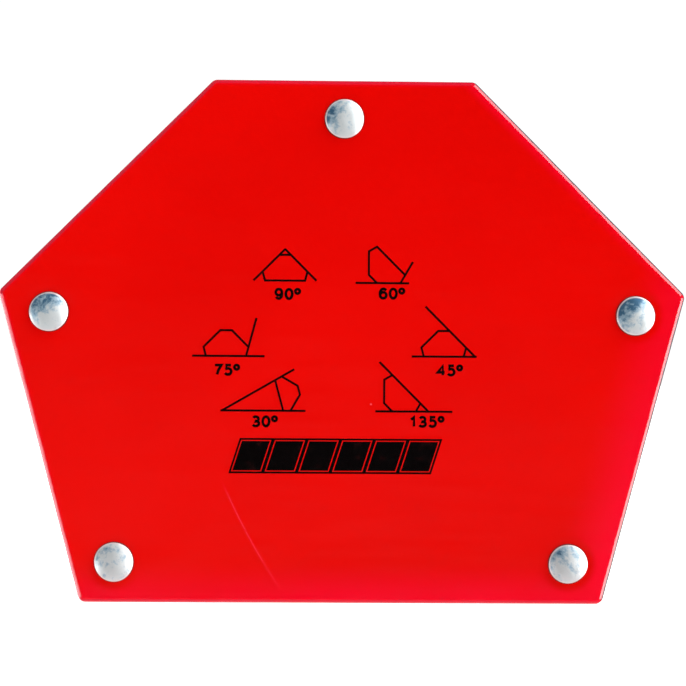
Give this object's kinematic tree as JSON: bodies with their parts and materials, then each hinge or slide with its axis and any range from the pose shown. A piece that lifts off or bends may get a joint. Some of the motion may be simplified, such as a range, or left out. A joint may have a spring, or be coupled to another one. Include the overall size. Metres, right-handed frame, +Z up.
{
  "type": "welding magnet holder",
  "caption": "Flat six-sided magnetic welding holder: two red steel plates riveted over magnet bars, with straight rims set at common joint angles.",
  "frame": {"origin": "middle of the bottom edge, halfway through the thickness", "axes": "+X along the bottom edge, +Y through the thickness from the printed front to the back, +Z up from the bottom edge to the top edge"},
  "size_m": [0.1346, 0.0172, 0.1026],
  "materials": {
    "red_paint": "gloss",
    "zinc_plate": "satin",
    "aluminium": "satin",
    "ferrite": "matte",
    "black_print": "satin"
  },
  "bodies": {
    "root": {"front_plate": "red_paint", "back_plate": "red_paint", "rivet_top": "zinc_plate", "rivet_side_left": "zinc_plate", "rivet_side_right": "zinc_plate", "rivet_bottom_left": "zinc_plate", "rivet_bottom_right": "zinc_plate", "spacer_top": "aluminium", "spacer_side_left": "aluminium", "spacer_side_right": "aluminium", "spacer_bottom_left": "aluminium", "spacer_bottom_right": "aluminium", "magnet_bottom_right": "ferrite", "magnet_bottom_left": "ferrite", "magnet_flank_right": "ferrite", "magnet_flank_left": "ferrite", "magnet_shoulder_right": "ferrite", "magnet_shoulder_left": "ferrite", "magnet_top_right": "ferrite", "magnet_top_left": "ferrite"}
  },
  "joints": []
}
